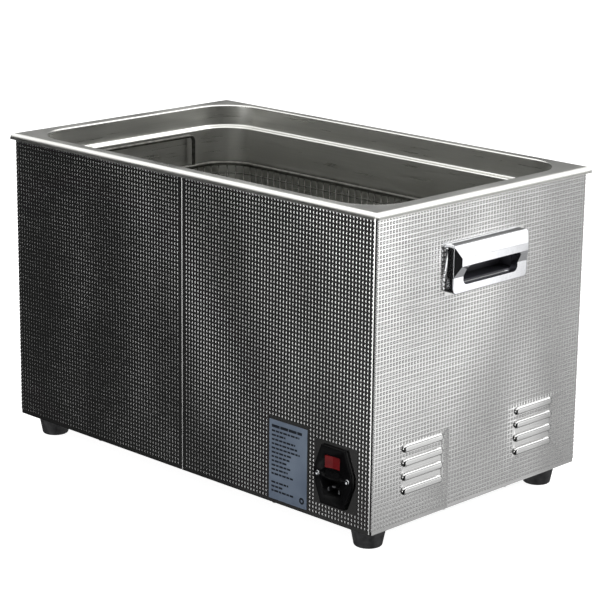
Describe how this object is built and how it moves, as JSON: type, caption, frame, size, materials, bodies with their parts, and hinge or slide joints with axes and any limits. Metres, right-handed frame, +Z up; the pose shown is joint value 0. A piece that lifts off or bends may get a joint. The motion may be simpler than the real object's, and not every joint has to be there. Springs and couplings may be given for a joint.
{
  "type": "ultrasonic cleaner",
  "caption": "Bench-top heated ultrasonic cleaner with an embossed steel casing, deep tank, lift-out wire basket, pull handles and a drain valve.",
  "frame": {"origin": "middle of the underside of the whole object's box at rest, on the surface that the feet stand on", "axes": "+Z up; the control panel faces -Y, the mains inlet faces +Y and the drain valve points along +X"},
  "size_m": [0.6154, 0.3342, 0.3454],
  "materials": {
    "casing_steel": "fine embossed stainless sheet, satin",
    "tank_steel": "pressed stainless steel, bright satin",
    "basket_wire": "electropolished stainless wire",
    "rubber_black": "moulded rubber, matt",
    "screw_steel": "zinc plated steel",
    "chrome_pull": "bright chrome plate over moulded plastic",
    "plastic_black": "fine textured moulding",
    "rocker_red": "translucent dark red moulding",
    "label_foil": "printed polyester foil",
    "fuse_glass": "glass tube with plated caps",
    "display_lens": "dark red acrylic lens",
    "button_grey": "moulded grey cap",
    "board_green": "solder resist on glass fibre",
    "post_nylon": "natural nylon",
    "horn_aluminium": "turned",
    "ceramic_pale": "fired ceramic with silvered faces",
    "heater_silicone": "silicone rubber mat",
    "thermostat_body": "phenolic moulding",
    "ferrite": "sintered ferrite",
    "valve_brass": "nickel plated brass",
    "lever_grip": "dipped vinyl over steel"
  },
  "bodies": {
    "cleaner": {"base_plate": "casing_steel", "base_screws": "screw_steel", "board_posts": "post_nylon", "capacitors": "plastic_black", "casing_wrap": "casing_steel", "control_board": "board_green", "control_panel": "plastic_black", "display_heat": "display_lens", "display_time": "display_lens", "drain_fitting": "valve_brass", "drain_nut": "valve_brass", "drain_pipe": "screw_steel", "fan_frame": "plastic_black", "foot_left_back": "rubber_black", "foot_left_front": "rubber_black", "foot_right_back": "rubber_black", "foot_right_front": "rubber_black", "foot_screws": "screw_steel", "generator_board": "board_green", "heat_sink": "horn_aluminium", "heater_pads": "heater_silicone", "hose_tail": "valve_brass", "inlet_body": "plastic_black", "inlet_pins": "screw_steel", "inlet_screws": "screw_steel", "panel_screws": "screw_steel", "pull_left": "chrome_pull", "pull_pocket_left": "plastic_black", "pull_pocket_right": "plastic_black", "pull_right": "chrome_pull", "pull_screws": "screw_steel", "rating_label": "label_foil", "seam_strap": "casing_steel", "tact_switches": "plastic_black", "tank": "tank_steel", "tank_brackets": "casing_steel", "thermostat": "thermostat_body", "transducer_backs": "screw_steel", "transducer_bolts": "screw_steel", "transducer_ceramics": "ceramic_pale", "transducer_horns": "horn_aluminium", "transformer": "ferrite", "valve_body": "valve_brass"},
    "basket": {"basket_rim": "basket_wire", "basket_bails": "basket_wire", "basket_feet": "basket_wire", "basket_mesh": "basket_wire"},
    "rocker": {"rocker_switch": "rocker_red"},
    "drawer": {"fuse_drawer": "plastic_black", "fuses": "fuse_glass"},
    "valve": {"valve_ball": "valve_brass", "valve_stem": "valve_brass", "valve_lever": "lever_grip"},
    "fan": {"fan_rotor": "plastic_black"},
    "key_time_down": {"button_time_down": "button_grey"},
    "key_time_up": {"button_time_up": "button_grey"},
    "key_start": {"button_start": "button_grey"},
    "key_warm": {"button_warm": "button_grey"},
    "key_heat_down": {"button_heat_down": "button_grey"},
    "key_heat_up": {"button_heat_up": "button_grey"}
  },
  "joints": [
    {"name": "basket_lift", "type": "slide", "parent": "cleaner", "child": "basket", "axis": [0, 0, 1], "range_m": [0, 0.24]},
    {"name": "mains_rocker", "type": "hinge", "parent": "cleaner", "child": "rocker", "pos_m": [-0.24525, 0.1612, 0.0875], "axis": [0, 0, 1], "range_deg": [-16, 0]},
    {"name": "fuse_drawer_slide", "type": "slide", "parent": "cleaner", "child": "drawer", "axis": [0, 1, 0], "range_m": [0, 0.022]},
    {"name": "drain_lever", "type": "hinge", "parent": "cleaner", "child": "valve", "pos_m": [0.26675, 0.0007, 0.062], "axis": [0, 0, 1], "range_deg": [0, 90]},
    {"name": "fan_spin", "type": "hinge", "parent": "cleaner", "child": "fan", "pos_m": [0.11125, 0.0007, 0.035], "axis": [0, 0, 1], "continuous": true},
    {"name": "press_time_down", "type": "slide", "parent": "cleaner", "child": "key_time_down", "axis": [0, 1, 0], "range_m": [0, 0.0012], "stiffness_N_per_m": 600},
    {"name": "press_time_up", "type": "slide", "parent": "cleaner", "child": "key_time_up", "axis": [0, 1, 0], "range_m": [0, 0.0012], "stiffness_N_per_m": 600},
    {"name": "press_start", "type": "slide", "parent": "cleaner", "child": "key_start", "axis": [0, 1, 0], "range_m": [0, 0.0012], "stiffness_N_per_m": 600},
    {"name": "press_warm", "type": "slide", "parent": "cleaner", "child": "key_warm", "axis": [0, 1, 0], "range_m": [0, 0.0012], "stiffness_N_per_m": 600},
    {"name": "press_heat_down", "type": "slide", "parent": "cleaner", "child": "key_heat_down", "axis": [0, 1, 0], "range_m": [0, 0.0012], "stiffness_N_per_m": 600},
    {"name": "press_heat_up", "type": "slide", "parent": "cleaner", "child": "key_heat_up", "axis": [0, 1, 0], "range_m": [0, 0.0012], "stiffness_N_per_m": 600}
  ]
}
